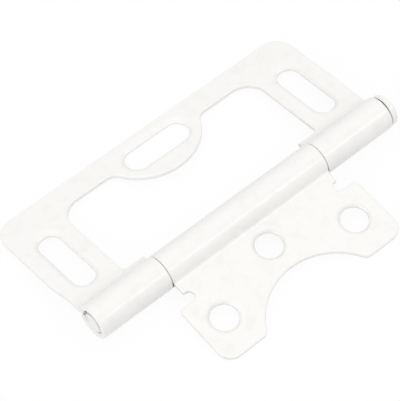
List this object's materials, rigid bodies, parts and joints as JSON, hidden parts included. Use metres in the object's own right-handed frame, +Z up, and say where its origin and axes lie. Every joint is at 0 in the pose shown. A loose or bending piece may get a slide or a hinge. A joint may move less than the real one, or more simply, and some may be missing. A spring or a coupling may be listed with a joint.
{
  "type": "flush hinge",
  "caption": "White steel flush hinge: a small leaf with round screw holes folds into the cut-out of a large slotted leaf, with rolled knuckles on a headed pin.",
  "frame": {"origin": "under the middle of the hinge's bounding box, on the surface it lies on", "axes": "+X along the pin to its head, +Y towards the large leaf's far edge, +Z up from the surface"},
  "size_m": [0.1024, 0.0712, 0.01],
  "materials": {
    "leaf_enamel": "smooth satin white coating over mild steel sheet",
    "pin_enamel": "the same satin white coating over the steel pin's head"
  },
  "bodies": {
    "large_leaf": {"outer_leaf": "leaf_enamel", "hinge_pin": "pin_enamel"},
    "small_leaf": {"inner_leaf": "leaf_enamel"}
  },
  "joints": [
    {"name": "leaf_pivot", "type": "hinge", "parent": "large_leaf", "child": "small_leaf", "pos_m": [-0.0012, -0.00563, 0.005], "axis": [1, 0, 0], "range_deg": [-194.1, 75.9]}
  ]
}
